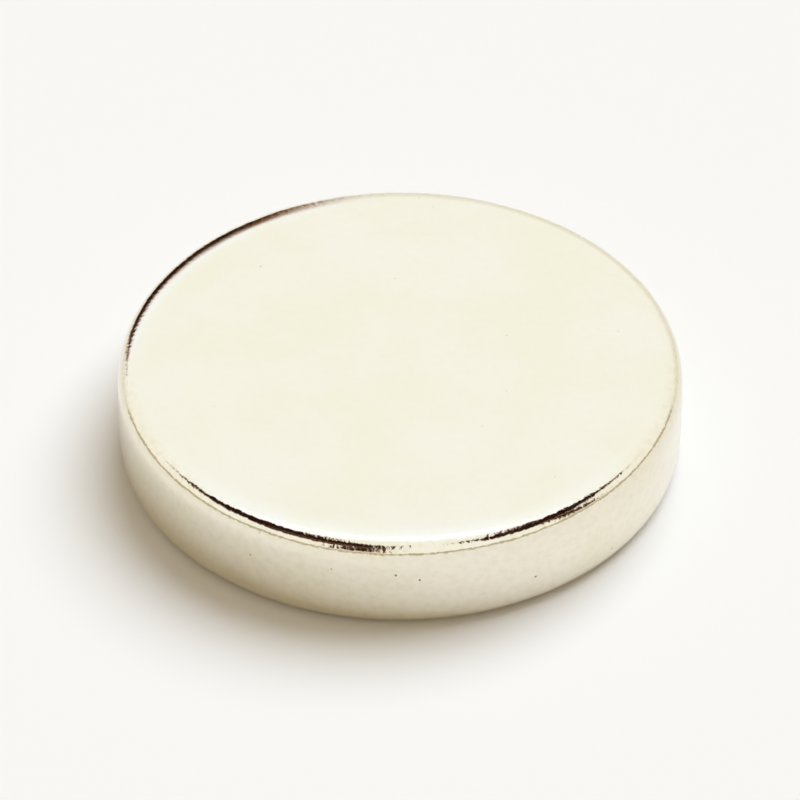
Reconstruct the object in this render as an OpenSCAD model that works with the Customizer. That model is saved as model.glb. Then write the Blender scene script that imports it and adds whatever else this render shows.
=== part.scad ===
// Plain disc magnet: one sintered block, ground to a disc, tumbled so that its edges go round, and
// then plated all over. It lies on one pole face. The origin is the middle of that face, and +Z is
// the disc's axis, which is also the way it is magnetised.

/* [Disc] */
// Diameter over the plated rim
disc_d = 16; // [6:0.5:40]
// Thickness from one pole face to the other
disc_t = 3; // [1.5:0.1:12]

/* [Edges] */
// Radius that tumbling leaves along the edge of each pole face
edge_r = 0.6; // [0.1:0.05:0.7]

/* [Finish] */
// Red, green and blue of the bright nickel plate
plate_colour = [0.88, 0.86, 0.80]; // [0:0.01:1]

/* [Hidden] */
$fn = 180;
disc_r = disc_d / 2;
flat_r = disc_r - edge_r;           // radius of the flat part of a pole face
rim_h = disc_t - 2 * edge_r;        // height of the straight part of the rim
edge_z = [edge_r, disc_t - edge_r]; // heights that the two edge arcs are drawn about

// Half of the section through the axis: the pole faces, the straight rim, and at each edge an arc
// that runs tangent into both.
module half_section() {
    square([flat_r, disc_t]);
    translate([0, edge_r]) square([disc_r, rim_h]);
    for (z = edge_z) translate([flat_r, z]) circle(r = edge_r);
}

module disc_magnet() {
    color(plate_colour) rotate_extrude() half_section();
}

disc_magnet();
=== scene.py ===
# %% [markdown]
# # A disc magnet, bright nickel plated
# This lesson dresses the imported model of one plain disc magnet. It makes a finely cut copy of the
# disc, its nickel plate, and a small pale studio to show it in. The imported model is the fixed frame:
# the diameter and the thickness are read from its box, in metres, and nothing here moves it.

# %% Load the frame
import math

import bmesh
import bpy
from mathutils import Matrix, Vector, noise as lumps


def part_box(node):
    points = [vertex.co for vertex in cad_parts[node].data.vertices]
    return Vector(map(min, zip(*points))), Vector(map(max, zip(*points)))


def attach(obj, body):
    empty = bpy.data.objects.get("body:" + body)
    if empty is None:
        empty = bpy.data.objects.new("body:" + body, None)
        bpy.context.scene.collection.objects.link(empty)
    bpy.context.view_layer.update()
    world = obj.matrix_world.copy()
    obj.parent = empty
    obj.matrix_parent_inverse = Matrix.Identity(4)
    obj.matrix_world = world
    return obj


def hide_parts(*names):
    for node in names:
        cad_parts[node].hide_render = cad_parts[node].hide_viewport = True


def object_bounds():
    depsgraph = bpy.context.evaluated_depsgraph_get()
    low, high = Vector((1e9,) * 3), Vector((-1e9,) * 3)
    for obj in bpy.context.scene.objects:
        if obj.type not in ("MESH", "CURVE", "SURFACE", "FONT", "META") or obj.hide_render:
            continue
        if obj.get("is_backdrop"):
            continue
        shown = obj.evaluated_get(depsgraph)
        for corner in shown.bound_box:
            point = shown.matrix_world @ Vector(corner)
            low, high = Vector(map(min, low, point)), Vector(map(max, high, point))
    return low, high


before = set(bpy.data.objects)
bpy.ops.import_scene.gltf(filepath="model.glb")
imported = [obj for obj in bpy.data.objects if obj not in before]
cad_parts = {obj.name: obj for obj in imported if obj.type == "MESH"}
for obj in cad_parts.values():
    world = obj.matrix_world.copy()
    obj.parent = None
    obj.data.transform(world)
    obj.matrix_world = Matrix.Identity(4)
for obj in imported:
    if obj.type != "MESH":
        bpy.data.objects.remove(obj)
cad_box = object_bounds()
low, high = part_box("disc_magnet")
MM = 0.001
RADIUS = (high.x - low.x) / 2
THICKNESS = high.z - low.z
EDGE_RADIUS = 0.6 * MM                # of the rounded edge between a pole face and the rim
print(f"disc: {2 * RADIUS / MM:.2f} mm across, {THICKNESS / MM:.2f} mm thick")

# %% [markdown]
# ## Half of the section
# The real magnet is pressed and sintered from powder, ground flat and round, and then tumbled with
# small stones, which rolls its corners over. It could be a cylinder with bevelled edges, or it could
# be turned as on a lathe. The lathe is chosen, because half of the section is the drawing that a
# magnet maker works from: four corners, two of them at the rim and rounded.

# %% Draw half of the section
CORNER_CUT = 0.75 * EDGE_RADIUS       # where the bevel starts; the softening below widens it
ARC_STEPS = 14


def half_section():
    """The line from the middle of one pole face, over the rim, to the middle of the other."""
    bm = bmesh.new()
    corners = [(0, 0, 0), (RADIUS, 0, 0), (RADIUS, 0, THICKNESS), (0, 0, THICKNESS)]
    verts = [bm.verts.new(corner) for corner in corners]
    for start, end in zip(verts, verts[1:]):
        bm.edges.new((start, end))
    bmesh.ops.bevel(bm, geom=verts[1:3], offset=CORNER_CUT, offset_type="OFFSET",
                    affect="VERTICES", segments=ARC_STEPS, profile=0.5, material=-1)
    return bm


section = half_section()
print(f"section: {len(section.verts)} points after the two corners are rounded")

# %% [markdown]
# ## Edges that fade into the flats
# Tumbling doesn't stop at a line. The stones rub the outer millimetre of the face as well, so it
# slopes off gently before the rounding starts. On a mirror finish the difference shows at once: a
# bevel on its own ends in a hard line of light, and a real edge in a soft one. A subdivision surface
# would soften that line, but it pulls in the flats too. Here the outer part of the section is first
# cut into short steps, and then each of its points moves towards the middle of its two neighbours,
# again and again. The shoulders of the faces get the most of it, and the flats stay flat.

# %% Cut the straight lines into short steps
ON_THE_PLANE = 0.0001 * MM            # a point nearer than this to a cut counts as on it
FINE_STEP = 0.075 * MM
COARSE_STEP = 0.45 * MM
SOFT_RING = 2.2 * MM                  # how far in from the rim a face is finely cut


def cut_long_edges(bm):
    """Fine steps on the rim and on the outer ring of each face, coarse ones inside that ring."""
    bmesh.ops.bisect_plane(bm, geom=bm.verts[:] + bm.edges[:], dist=ON_THE_PLANE,
                           plane_co=(RADIUS - SOFT_RING, 0, 0), plane_no=(1, 0, 0))
    for edge in [e for e in bm.edges if e.calc_length() > 2 * FINE_STEP]:
        inside = max(v.co.x for v in edge.verts) < RADIUS - SOFT_RING + FINE_STEP
        step = COARSE_STEP if inside else FINE_STEP
        bmesh.ops.subdivide_edges(bm, edges=[edge], cuts=round(edge.calc_length() / step) - 1)


cut_long_edges(section)
print(f"section: {len(section.verts)} points after the straight lines are cut")

# %% Soften the outer part
SHOULDER_PASSES = 80
ALL_OVER_PASSES = 27
SHOULDER_END = 0.15 * MM              # in from the rim, so a shoulder takes in half of the rounding


def soften(bm):
    """Averages neighbours: first on the two shoulders, and then on the rim and edges as well."""
    outer = [v for v in bm.verts if v.co.x > RADIUS - SOFT_RING + FINE_STEP]
    shoulders = [v for v in outer if v.co.x < RADIUS - SHOULDER_END]
    for part, passes in ((shoulders, SHOULDER_PASSES), (outer, ALL_OVER_PASSES)):
        for _ in range(passes):
            bmesh.ops.smooth_vert(bm, verts=part, factor=0.5,
                                  use_axis_x=True, use_axis_y=False, use_axis_z=True)


soften(section)
print(f"section: {max(v.co.x for v in section.verts) / MM:.4f} mm out and "
      f"{max(v.co.z for v in section.verts) / MM:.4f} mm up after softening")

# %% [markdown]
# ## Turned into a disc
# A grinder holds the rim of a magnet round to a few hundredths of a millimetre, so the body has to be
# truly round. Spinning the section about the axis does what the grinder does. A mirror finish shows
# every facet, so the turn is cut into many steps. The first and last copies are merged, the points
# that meet at the two poles are merged too, and then all faces are made to point outwards.

# %% Spin the section
SPIN_STEPS = 480
SAME_POINT = 0.0002 * MM              # points nearer than this to each other are merged


def spin_section(bm):
    bmesh.ops.spin(bm, geom=bm.verts[:] + bm.edges[:], cent=(0, 0, 0), axis=(0, 0, 1),
                   angle=2 * math.pi, steps=SPIN_STEPS, use_merge=True)
    bmesh.ops.remove_doubles(bm, verts=bm.verts, dist=SAME_POINT)
    bmesh.ops.recalc_face_normals(bm, faces=bm.faces)
    loose = [edge for edge in bm.edges if not edge.is_manifold]
    print(f"spun: {len(bm.faces)} faces, {360 / SPIN_STEPS:.2f} degrees each, {len(loose)} open edges")


spin_section(section)

# %% [markdown]
# ## Edges that stones have hit
# The stones hit the edges at random, so a tumbled edge swells and sinks by about a hundredth of a
# millimetre. It is far too little to see as a shape, but a line of light that runs along the edge
# turns wavy, and that tells a tumbled edge from a machined one. A Displace modifier with a vertex
# group would do it. Moving the points by a smooth noise is shorter, and the slope of the surface at
# each point says how far it may move: not at all on the faces or the rim, and most halfway between.

# %% Let the edges swell and sink
WAVE = 0.010 * MM
WAVE_LENGTH = 1.5 * MM
SHORT_WAVE_LENGTH = 0.675 * MM        # of a second, finer wave
SHORT_WAVE_SHARE = 0.5                # how high it is, as a share of the first
SINK = 0.6                            # keeps nearly every move inwards, so the disc doesn't grow
LEAST_SLOPE = 0.02                    # below this a point counts as flat and stays


def tumble(bm):
    """Moves the points of the rounded edges along their normals, by a noise of two wave lengths."""
    bm.normal_update()
    moves = []
    for vert in bm.verts:
        tilt = abs(vert.normal.z)
        slope = 4 * tilt * (1 - tilt)
        if slope > LEAST_SLOPE and 0 < vert.co.z < THICKNESS:
            lump = (lumps.noise(vert.co / WAVE_LENGTH)
                    + SHORT_WAVE_SHARE * lumps.noise(vert.co / SHORT_WAVE_LENGTH))
            moves.append((vert, vert.normal * (WAVE * slope * (lump - SINK))))
    for vert, move in moves:
        vert.co += move
    print(f"tumbled: {len(moves)} points, {max(m.length for _, m in moves) / MM:.4f} mm at most")


tumble(section)

# %% [markdown]
# ## A piece that stands for the imported disc
# The mesh becomes an object at the origin, unturned and unscaled, with its place in its points. It
# hides the coarser disc of the imported model and rides on the body named root. The packed disc could
# get the finish itself, but its facets would show in a mirror.

# %% Make the piece
def finish_piece(bm, name):
    for face in bm.faces:
        face.smooth = True
    print(f"{name}: {bm.calc_volume() / MM**3:.1f} mm3")
    mesh = bpy.data.meshes.new(name)
    bm.to_mesh(mesh)
    bm.free()
    piece = bpy.data.objects.new(name, mesh)
    bpy.context.scene.collection.objects.link(piece)
    return piece


disc = finish_piece(section, "plated_disc")
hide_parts("disc_magnet")
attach(disc, "root")

# %% [markdown]
# ## Helpers for node materials
# A node material is a chain of small sums on numbers and colours. It could be wired by hand in the
# editor, but a chain that is written down can be read, and changed in one place. Two helpers add a
# node and wire it. The others use them to add one sum, step, mix or noise each, and hand back its
# output for the next one.

# %% Add a node and wire it
def add_node(tree, kind, **settings):
    node = tree.nodes.new(kind)
    for key, value in settings.items():
        setattr(node, key, value)
    return node


def wire(tree, source, socket):
    """Puts a number or a colour on a socket, or links another node's output to it."""
    if isinstance(source, (int, float)):
        socket.default_value = source
    elif isinstance(source, tuple):
        socket.default_value = (*source, 1)
    else:
        tree.links.new(source, socket)


# %% Sums
def maths(tree, operation, first, second=0.0, third=0.0):
    node = add_node(tree, "ShaderNodeMath", operation=operation)
    for socket, value in zip(node.inputs, (first, second, third)):
        wire(tree, value, socket)
    return node.outputs[0]


def between(tree, share, start, end):
    """start where share is 0, and end where it is 1."""
    return maths(tree, "MULTIPLY_ADD", share, end - start, start)


# %% Steps and mixes
def ramp(tree, value, start, end, low=0.0, high=1.0):
    """A smooth step from low to high as value goes from start to end."""
    node = add_node(tree, "ShaderNodeMapRange", interpolation_type="SMOOTHSTEP")
    wire(tree, value, node.inputs["Value"])
    for name, number in (("From Min", start), ("From Max", end), ("To Min", low), ("To Max", high)):
        node.inputs[name].default_value = number
    return node.outputs["Result"]


def mix(tree, share, first, second, blend="MIX", label=""):
    """The first colour where share is 0. Where it is 1, the second, or for MULTIPLY their product."""
    node = add_node(tree, "ShaderNodeMix", data_type="RGBA", blend_type=blend, label=label)
    wire(tree, share, node.inputs["Factor"])
    wire(tree, first, node.inputs["A"])
    wire(tree, second, node.inputs["B"])
    return node.outputs["Result"]


# %% Grain
def grain(tree, place, size, detail):
    """Noise from 0 to 1 with lumps about one size across, in metres. Detail adds finer ones."""
    node = add_node(tree, "ShaderNodeTexNoise")
    wire(tree, place, node.inputs["Vector"])
    node.inputs["Scale"].default_value = 1 / size
    node.inputs["Detail"].default_value = detail
    return node.outputs["Fac"]


# %% [markdown]
# ## Nickel plate
# The block rusts, so it is plated all over: nickel, copper and nickel again, one or two hundredths of
# a millimetre in all, grown in a barrel that turns hundreds of magnets over each other. The last coat
# is bright nickel, a mirror that is warmer than chrome, because nickel takes up more blue light.
# A metal shader of one colour and one gloss looks like a drawing of that. The real plate differs from
# place to place, and the nodes follow it, on Object coordinates in metres, so that each grain has its
# real size.
#
# The ground faces stay nearly perfect, and the edges and the rim keep what the stones and the barrel
# did to them. So each finish below asks first how far a place is rolled. That could be painted on
# the points of the mesh. For a disc, how far out a place is and how high it is say enough.

# %% How far a place is rolled, and whether it is on the straight rim
ROLLED_FROM = RADIUS - 0.95 * EDGE_RADIUS             # distances from the axis
ROLLED_FULLY = RADIUS - 0.35 * EDGE_RADIUS
STRAIGHT_TO = THICKNESS / 2 - 1.1 * EDGE_RADIUS       # distances from the middle of the thickness
ROUNDED_FROM = THICKNESS / 2 - 0.6 * EDGE_RADIUS
EDGE_SHARE = 0.30                     # of the rim's fine relief, on the edges and the faces


def rolled_share(tree, axes):
    """0 on the flat of a face, and 1 on the outer half of the rounded edges and on the rim."""
    squares = [maths(tree, "POWER", axes.outputs[axis], 2.0) for axis in "XY"]
    reach = maths(tree, "SQRT", maths(tree, "ADD", *squares))
    return ramp(tree, reach, ROLLED_FROM, ROLLED_FULLY)


def rim_share(tree, axes):
    """1 on the straight rim, and the edges' share on the rounded edges and the faces."""
    off_middle = maths(tree, "ABSOLUTE", maths(tree, "SUBTRACT", axes.outputs["Z"], THICKNESS / 2))
    return ramp(tree, off_middle, STRAIGHT_TO, ROUNDED_FROM, 1.0, EDGE_SHARE)


# %% [markdown]
# ## Pin holes
# Pressed powder has pores. Where one opens at the surface, the plate can't close it and leaves a hole
# about as wide as a hair. Holes could be cut into the mesh, but each is smaller than one of its
# faces. A Voronoi texture suits them: it divides space into cells, and each cell has a middle, where
# a hole can be, and a random colour, which says whether there is one and how wide it is.

# %% Pin holes
HOLE_SPACING = 0.8 * MM
HOLE_RADII = (0.025 * MM, 0.055 * MM)
HOLE_SHARE = 0.7                      # of the cells have one
HOLE_SLOPE = 0.6                      # the share of its radius over which a hole gets deep


def pin_holes(tree, place):
    """1 in the middle of a pin hole and 0 outside. A cell of the pattern has one hole or none."""
    cells = add_node(tree, "ShaderNodeTexVoronoi")
    wire(tree, place, cells.inputs["Vector"])
    cells.inputs["Scale"].default_value = 1 / HOLE_SPACING
    chance = add_node(tree, "ShaderNodeSeparateColor")
    wire(tree, cells.outputs["Color"], chance.inputs[0])
    smallest, largest = (radius / HOLE_SPACING for radius in HOLE_RADII)
    radius = between(tree, chance.outputs["Red"], smallest, largest)
    depth = maths(tree, "SUBTRACT", 1.0, maths(tree, "DIVIDE", cells.outputs["Distance"], radius))
    kept = maths(tree, "LESS_THAN", chance.outputs["Green"], HOLE_SHARE)
    return maths(tree, "MULTIPLY", ramp(tree, depth, 0.0, HOLE_SLOPE), kept)


print(f"pin holes: {2 * HOLE_RADII[0] / MM:.2f} to {2 * HOLE_RADII[1] / MM:.2f} mm across")

# %% [markdown]
# ## Colour
# Bright nickel is a pale, slightly yellow grey, and its tint drifts a little over a few millimetres.
# Where the barrel has rubbed it, it is a touch darker and warmer, and finely mottled. An image could
# hold all this, but it would need an unwrapped mesh, and its seams would cross the rim. Noise in
# space needs neither.

# %% Colour of the plate
NICKEL = (0.871, 0.840, 0.722)
PALER_NICKEL = (0.887, 0.855, 0.775)
DRIFT_SIZE = 3.0 * MM
DRIFT_STEP = (0.35, 0.65)             # the stretch of the noise over which the tint changes
ROLLED_TONE = (0.985, 0.965, 0.915)   # what the rolled parts keep of the light
BARREL_MOTTLE = (0.955, 0.945, 0.93)  # what a speck keeps
SPECK_SIZE = 0.22 * MM
SPECK_STEP = (0.3, 0.6)               # the stretch of the noise over which a speck fades
FACE_SPECKS = 0.15                    # how strong the specks are on the flat faces
# Painted shade: each pin hole is darkened towards this brown, a little on the flat faces and strongly
# on the rolled parts.
HOLE_SHADE = (0.22, 0.16, 0.11)
FACE_HOLE_SHADE, ROLLED_HOLE_SHADE = 0.12, 0.82


def plate_colour(tree, place, rolled, holes):
    drift = ramp(tree, grain(tree, place, DRIFT_SIZE, detail=3.0), *DRIFT_STEP)
    speck = ramp(tree, grain(tree, place, SPECK_SIZE, detail=4.0), *SPECK_STEP, 1.0, 0.0)
    speck = maths(tree, "MULTIPLY", speck, between(tree, rolled, FACE_SPECKS, 1.0))
    # painted shade in the pin holes, weaker on the faces than on the rolled parts
    hole_shade = maths(tree, "MULTIPLY", holes, between(tree, rolled, FACE_HOLE_SHADE, ROLLED_HOLE_SHADE))
    colour = mix(tree, drift, NICKEL, PALER_NICKEL)
    colour = mix(tree, rolled, colour, ROLLED_TONE, "MULTIPLY")
    colour = mix(tree, speck, colour, BARREL_MOTTLE, "MULTIPLY")
    return mix(tree, hole_shade, colour, HOLE_SHADE)


# %% [markdown]
# ## Haze and relief
# Two things spoil a mirror: haze, which blurs it, and relief, which bends it. Bright plate has a
# slight haze all over. The stones and the barrel leave fine pebbles on the edges and the rim, about a
# hundredth of a millimetre high, and there every line of light breaks up into grains. They could be
# modelled with a very fine mesh. They are bump instead, because they are too low to change the
# outline. The height is in metres and the bump distance is 1, so the slopes are the real ones.

# %% Haze
HAZE_SIZE = 0.9 * MM
LEAST_HAZE, MOST_HAZE = 0.06, 0.13
HOLE_HAZE = 0.35                      # more in a pin hole


def plate_roughness(tree, place, holes):
    """Nearly a mirror, with a haze that drifts over about a millimetre. Pin holes are dull."""
    haze = between(tree, grain(tree, place, HAZE_SIZE, detail=3.0), LEAST_HAZE, MOST_HAZE)
    return maths(tree, "MULTIPLY_ADD", holes, HOLE_HAZE, haze)


# %% Relief
FINE_PEBBLE = 0.065 * MM
FINE_RELIEF = 0.008 * MM              # on the straight rim, and less elsewhere
BROAD_PEBBLE = 0.17 * MM
RIM_RELIEF = 0.004 * MM               # of the broad pebbles, on the straight rim
EDGE_RELIEF = 0.010 * MM              # towards which they rise on the rounded edges
FACE_RELIEF = 0.12                    # the share of all pebbles that a ground face keeps
HOLE_DEPTH = 0.010 * MM


def plate_height(tree, place, rolled, straight, holes):
    """The height of the surface in metres."""
    fine = maths(tree, "MULTIPLY", grain(tree, place, FINE_PEBBLE, detail=1.2),
                 maths(tree, "MULTIPLY", straight, FINE_RELIEF))
    broad = maths(tree, "MULTIPLY", grain(tree, place, BROAD_PEBBLE, detail=1.0),
                  between(tree, straight, EDGE_RELIEF, RIM_RELIEF))
    pebbles = maths(tree, "MULTIPLY", maths(tree, "ADD", fine, broad),
                    between(tree, rolled, FACE_RELIEF, 1.0))
    return maths(tree, "MULTIPLY_ADD", maths(tree, "MULTIPLY", holes, rolled), -HOLE_DEPTH, pebbles)


# %% [markdown]
# ## All of it on one shader
# The plate is one unbroken coat, so it is one material. A Principled shader with Metallic at 1 mirrors
# its surroundings in its own colour, as bare metal does. A Glossy shader would do the same here, but
# a Principled one can also be baked and used elsewhere.

# %% The finished plate
def nickel_plate():
    material = bpy.data.materials.new("nickel_plate")
    material.use_nodes = True
    tree = material.node_tree
    shader = tree.nodes["Principled BSDF"]
    shader.inputs["Metallic"].default_value = 1.0
    place = add_node(tree, "ShaderNodeTexCoord").outputs["Object"]
    axes = add_node(tree, "ShaderNodeSeparateXYZ")
    wire(tree, place, axes.inputs[0])
    rolled, straight, holes = rolled_share(tree, axes), rim_share(tree, axes), pin_holes(tree, place)
    wire(tree, plate_colour(tree, place, rolled, holes), shader.inputs["Base Color"])
    wire(tree, plate_roughness(tree, place, holes), shader.inputs["Roughness"])
    bump = add_node(tree, "ShaderNodeBump")
    bump.inputs["Distance"].default_value = 1.0
    bump.inputs["Strength"].default_value = 1.0
    wire(tree, plate_height(tree, place, rolled, straight, holes), bump.inputs["Height"])
    wire(tree, bump.outputs["Normal"], shader.inputs["Normal"])
    print(f"nickel_plate: {len(tree.nodes)} nodes")
    return material


disc.data.materials.append(nickel_plate())

# %% [markdown]
# ## A pale floor
# The magnet lies flat on its face on a sheet of off-white paper. The paper could be a curved sweep,
# as in a photographer's studio. One large flat grid is enough, because it fills the frame from every
# side that looks down on it, and it carries the magnet's shadow. It is marked as part of the stage,
# not of the object.

# %% Floor
PAPER_BASE = (0.947, 0.944, 0.928)
PAPER_ROUGHNESS = 0.9
FLOOR_SIZE = 6.0                      # metres


def pale_floor():
    bm = bmesh.new()
    bmesh.ops.create_grid(bm, x_segments=1, y_segments=1, size=FLOOR_SIZE / 2)
    mesh = bpy.data.meshes.new("floor")
    bm.to_mesh(mesh)
    bm.free()
    floor = bpy.data.objects.new("floor", mesh)
    bpy.context.scene.collection.objects.link(floor)
    material = bpy.data.materials.new("matt_paper")
    material.use_nodes = True
    shader = material.node_tree.nodes["Principled BSDF"]
    wire(material.node_tree, PAPER_BASE, shader.inputs["Base Color"])
    shader.inputs["Roughness"].default_value = PAPER_ROUGHNESS
    shader.inputs["Specular IOR Level"].default_value = 0.0
    mesh.materials.append(material)
    floor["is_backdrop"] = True
    print(f"floor: {FLOOR_SIZE:.0f} m square")


pale_floor()

# %% [markdown]
# ## Lamps that light the paper
# Paper and metal see light in two ways. Paper gathers it from everywhere, and metal mirrors whatever
# stands in one direction. So the studio has two halves, and this one is for the paper. A large cool
# lamp behind and to the right throws the soft shadow, and a warm fill from the whole sky fills it,
# which makes the shadow turn warm towards the magnet. Area lamps would do as well. Suns are chosen,
# because their light is even over the floor, and their size in degrees sets how soft the shadow is.
# The two colours add up to about 1, so that paper comes out about as its colour is written. The
# metal doesn't mirror the lamps.

# %% Lamps
LAMPS = [
    # name, bearing, height, size in degrees, light that falls on level paper
    ("key", 40, 56, 50, (0.59, 0.655, 0.735)),
    ("fill", 0, 90, 172, (0.41, 0.335, 0.24)),
]


def towards(bearing, height):
    """A direction. Bearing 0 is behind the magnet, 90 to its right, and 180 is the camera's side."""
    b, h = math.radians(bearing), math.radians(height)
    return Vector((math.sin(b) * math.cos(h), math.cos(b) * math.cos(h), math.sin(h)))


def add_lamp(name, bearing, height, size, light):
    """A sun that lights level paper at 1, times its colour, however low it stands."""
    data = bpy.data.lights.new(name, "SUN")
    data.angle = math.radians(size)
    data.color = light
    data.energy = math.pi / math.sin(math.radians(height))
    lamp = bpy.data.objects.new(name, data)
    lamp.rotation_euler = towards(bearing, height).to_track_quat("Z", "Y").to_euler()
    lamp.visible_glossy = False
    bpy.context.scene.collection.objects.link(lamp)
    print(f"{name}: {data.energy:.2f} W/m2")


for lamp in LAMPS:
    add_lamp(*lamp)

# %% [markdown]
# ## Surroundings for the metal to mirror
# The other half of the studio is what the plate mirrors. Bright nickel has no look of its own: it is
# pale where a pale wall stands, and dark where the room is dark. A faceted box of cards round the
# magnet could be built, as a photographer does. Here the cards are painted on the world, as patches
# with a bearing, a height and a soft edge, because each can be moved by changing one number.
#
# Pale walls reach all round, so that the flat faces are cream from nearly everywhere. An edge turns
# away from the flat within a millimetre, so it squeezes half of the studio into a few thin lines. A
# bright card above, with a soft halo, gives the glow that rises towards the near edge, and a window
# behind gives the one at the far left. Dark gaps beside them give the crisp dark lines. Two narrow
# gaps lower down make the near line swell in two places, and the dull band where the room meets the
# floor draws a fine line round the rim. Each dark patch has a rust-brown fringe, because a line on
# real plate isn't black up to its edge, but goes brown first. Only mirrored rays see all this. To the
# camera the background is plain paper, and the world adds nothing to the light on the floor.

# %% Patches
PAPER = (0.947, 0.939, 0.905)         # how the floor looks under the two lamps
DIM_PAPER = (0.80, 0.78, 0.70)
WALL = (1.04, 1.05, 1.0)
WINDOW = (1.08, 1.13, 1.20)
SOFT_GLOW = (1.09, 1.13, 1.16)
GLOW = (1.20, 1.25, 1.40)
DIM_WALL = (0.91, 0.91, 0.84)
OLIVE = (0.55, 0.47, 0.32)
BROWN = (0.125, 0.062, 0.040)
DARK = (0.022, 0.0066, 0.003)
RUST = (0.34, 0.175, 0.10)            # of the fringe round each dark patch
FRINGE = 2.5                          # how wide the fringe is, in degrees
PATCHES = [
    # name, bearing, half width, lower edge, upper edge, soft edge (all in degrees), colour
    ("far_floor", 0, 181, 0, 99, 1, DIM_PAPER),
    ("pale_walls", 0, 181, 6, 99, 3, WALL),
    ("window", -19, 15, 23, 33, 8, WINDOW),
    ("soft_glow", 0, 84, 52, 77, 18, SOFT_GLOW),
    ("high_glow", 0, 76, 61, 73, 7, GLOW),
    ("back_line", 0, 60, 6, 20, 7, DIM_WALL),
    ("back_dark", -19, 12.5, 6.5, 24, 6, DARK),
    ("left_dark", -116, 57, 49, 77, 4, DARK),
    ("left_brown", -135, 24, 54, 62, 5, BROWN),
    ("front_gap", -164, 7, 21, 51, 9, DARK),
    ("right_dark", 98, 40, 49.5, 71, 4, DARK),
    ("right_gap", 107, 6, 21, 49, 8, DARK),
    ("horizon", 180, 125, 3, 14, 6, OLIVE),
]
print(f"surroundings: {len(PATCHES)} patches")

# %% Put a fringe under each dark patch
def with_fringes(patches):
    """The patches in order, each dark one after a rust patch that is wider all round."""
    for patch in patches:
        name, where, half, lower, upper, soft, colour = patch
        if colour == DARK:
            yield f"{name}_fringe", where, half + FRINGE, lower - FRINGE, upper + FRINGE, soft, RUST
        yield patch


print(f"surroundings: {len(list(with_fringes(PATCHES)))} patches with the fringes")

# %% Paint them on the world
def patch_share(tree, height, bearing, where, half, lower, upper, soft):
    """1 inside a patch and 0 outside, with a soft edge. A half width over 180 goes all round."""
    share = maths(tree, "MULTIPLY", ramp(tree, height, lower - soft / 2, lower + soft / 2),
                  ramp(tree, height, upper - soft / 2, upper + soft / 2, 1.0, 0.0))
    if half < 180:
        turn = maths(tree, "WRAP", maths(tree, "SUBTRACT", bearing, float(where)), 180.0, -180.0)
        side = ramp(tree, maths(tree, "ABSOLUTE", turn), half - soft / 2, half + soft / 2, 1.0, 0.0)
        share = maths(tree, "MULTIPLY", share, side)
    return share


def paint_surroundings(tree):
    """Paper below the horizon, and the patches above it, each painted over the ones before."""
    axes = add_node(tree, "ShaderNodeSeparateXYZ")
    wire(tree, add_node(tree, "ShaderNodeTexCoord").outputs["Generated"], axes.inputs[0])
    x, y, z = axes.outputs
    height = maths(tree, "DEGREES", maths(tree, "ARCSINE", z))
    bearing = maths(tree, "DEGREES", maths(tree, "ARCTAN2", x, y))
    picture = PAPER
    for name, *area, colour in with_fringes(PATCHES):
        share = patch_share(tree, height, bearing, *area)
        picture = mix(tree, share, picture, colour, label=name)
    return picture


# %% Show them to mirrored rays only
def add_world():
    world = bpy.data.worlds.new("studio")
    bpy.context.scene.world = world
    world.use_nodes = True
    world.cycles_visibility.diffuse = False
    tree = world.node_tree
    rays = add_node(tree, "ShaderNodeLightPath")
    mirrored = maths(tree, "MAXIMUM", rays.outputs["Is Glossy Ray"],
                     rays.outputs["Is Transmission Ray"])
    colour = mix(tree, mirrored, PAPER, paint_surroundings(tree))
    wire(tree, colour, tree.nodes["Background"].inputs["Color"])
    print(f"world: {len(tree.nodes)} nodes")


add_world()

# %% [markdown]
# ## Camera
# A small part is shown with a long lens from a fair distance, so that its far edge is hardly smaller
# than its near one. A short lens close by would make the near rim bulge. The camera looks down at the
# height at which a pole face shows as an ellipse about two thirds as high as it is wide, with the rim
# below it.

# %% Camera
CAMERA_HEIGHT = 40.3                  # degrees above the floor
NEAREST, FARTHEST = 0.01, 50.0        # metres from the camera that it can see
LENS = 283.0                          # millimetres, as the sensor's width is
SENSOR = 36.0
DISCS_ACROSS = 1.42                   # how many discs side by side would fill the frame
FRAME_WIDTH = DISCS_ACROSS * 2 * RADIUS


def add_camera():
    data = bpy.data.cameras.new("camera")
    data.lens, data.sensor_width = LENS, SENSOR
    data.clip_start, data.clip_end = NEAREST, FARTHEST
    camera = bpy.data.objects.new("camera", data)
    bpy.context.scene.collection.objects.link(camera)
    bpy.context.scene.camera = camera
    distance = FRAME_WIDTH * LENS / SENSOR
    back = towards(180, CAMERA_HEIGHT)
    camera.location = Vector((0, 0, THICKNESS / 2)) + back * distance
    camera.rotation_euler = back.to_track_quat("Z", "Y").to_euler()
    print(f"camera: {distance / MM:.0f} mm away, {CAMERA_HEIGHT} degrees up")


add_camera()
bpy.context.scene.view_settings.view_transform = "Standard"

# %% [markdown]
# ## Sizes, and the end
# The looks may not change the size of the real thing. Both boxes are written down, the packed
# model's and the dressed one's, so that they can be compared after each render.

# %% Write the sizes and finish
visual_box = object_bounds()
for axis, was, now in zip("xyz", cad_box[1] - cad_box[0], visual_box[1] - visual_box[0]):
    print(f"{axis}: {was / MM:.3f} mm packed, {now / MM:.3f} mm dressed")
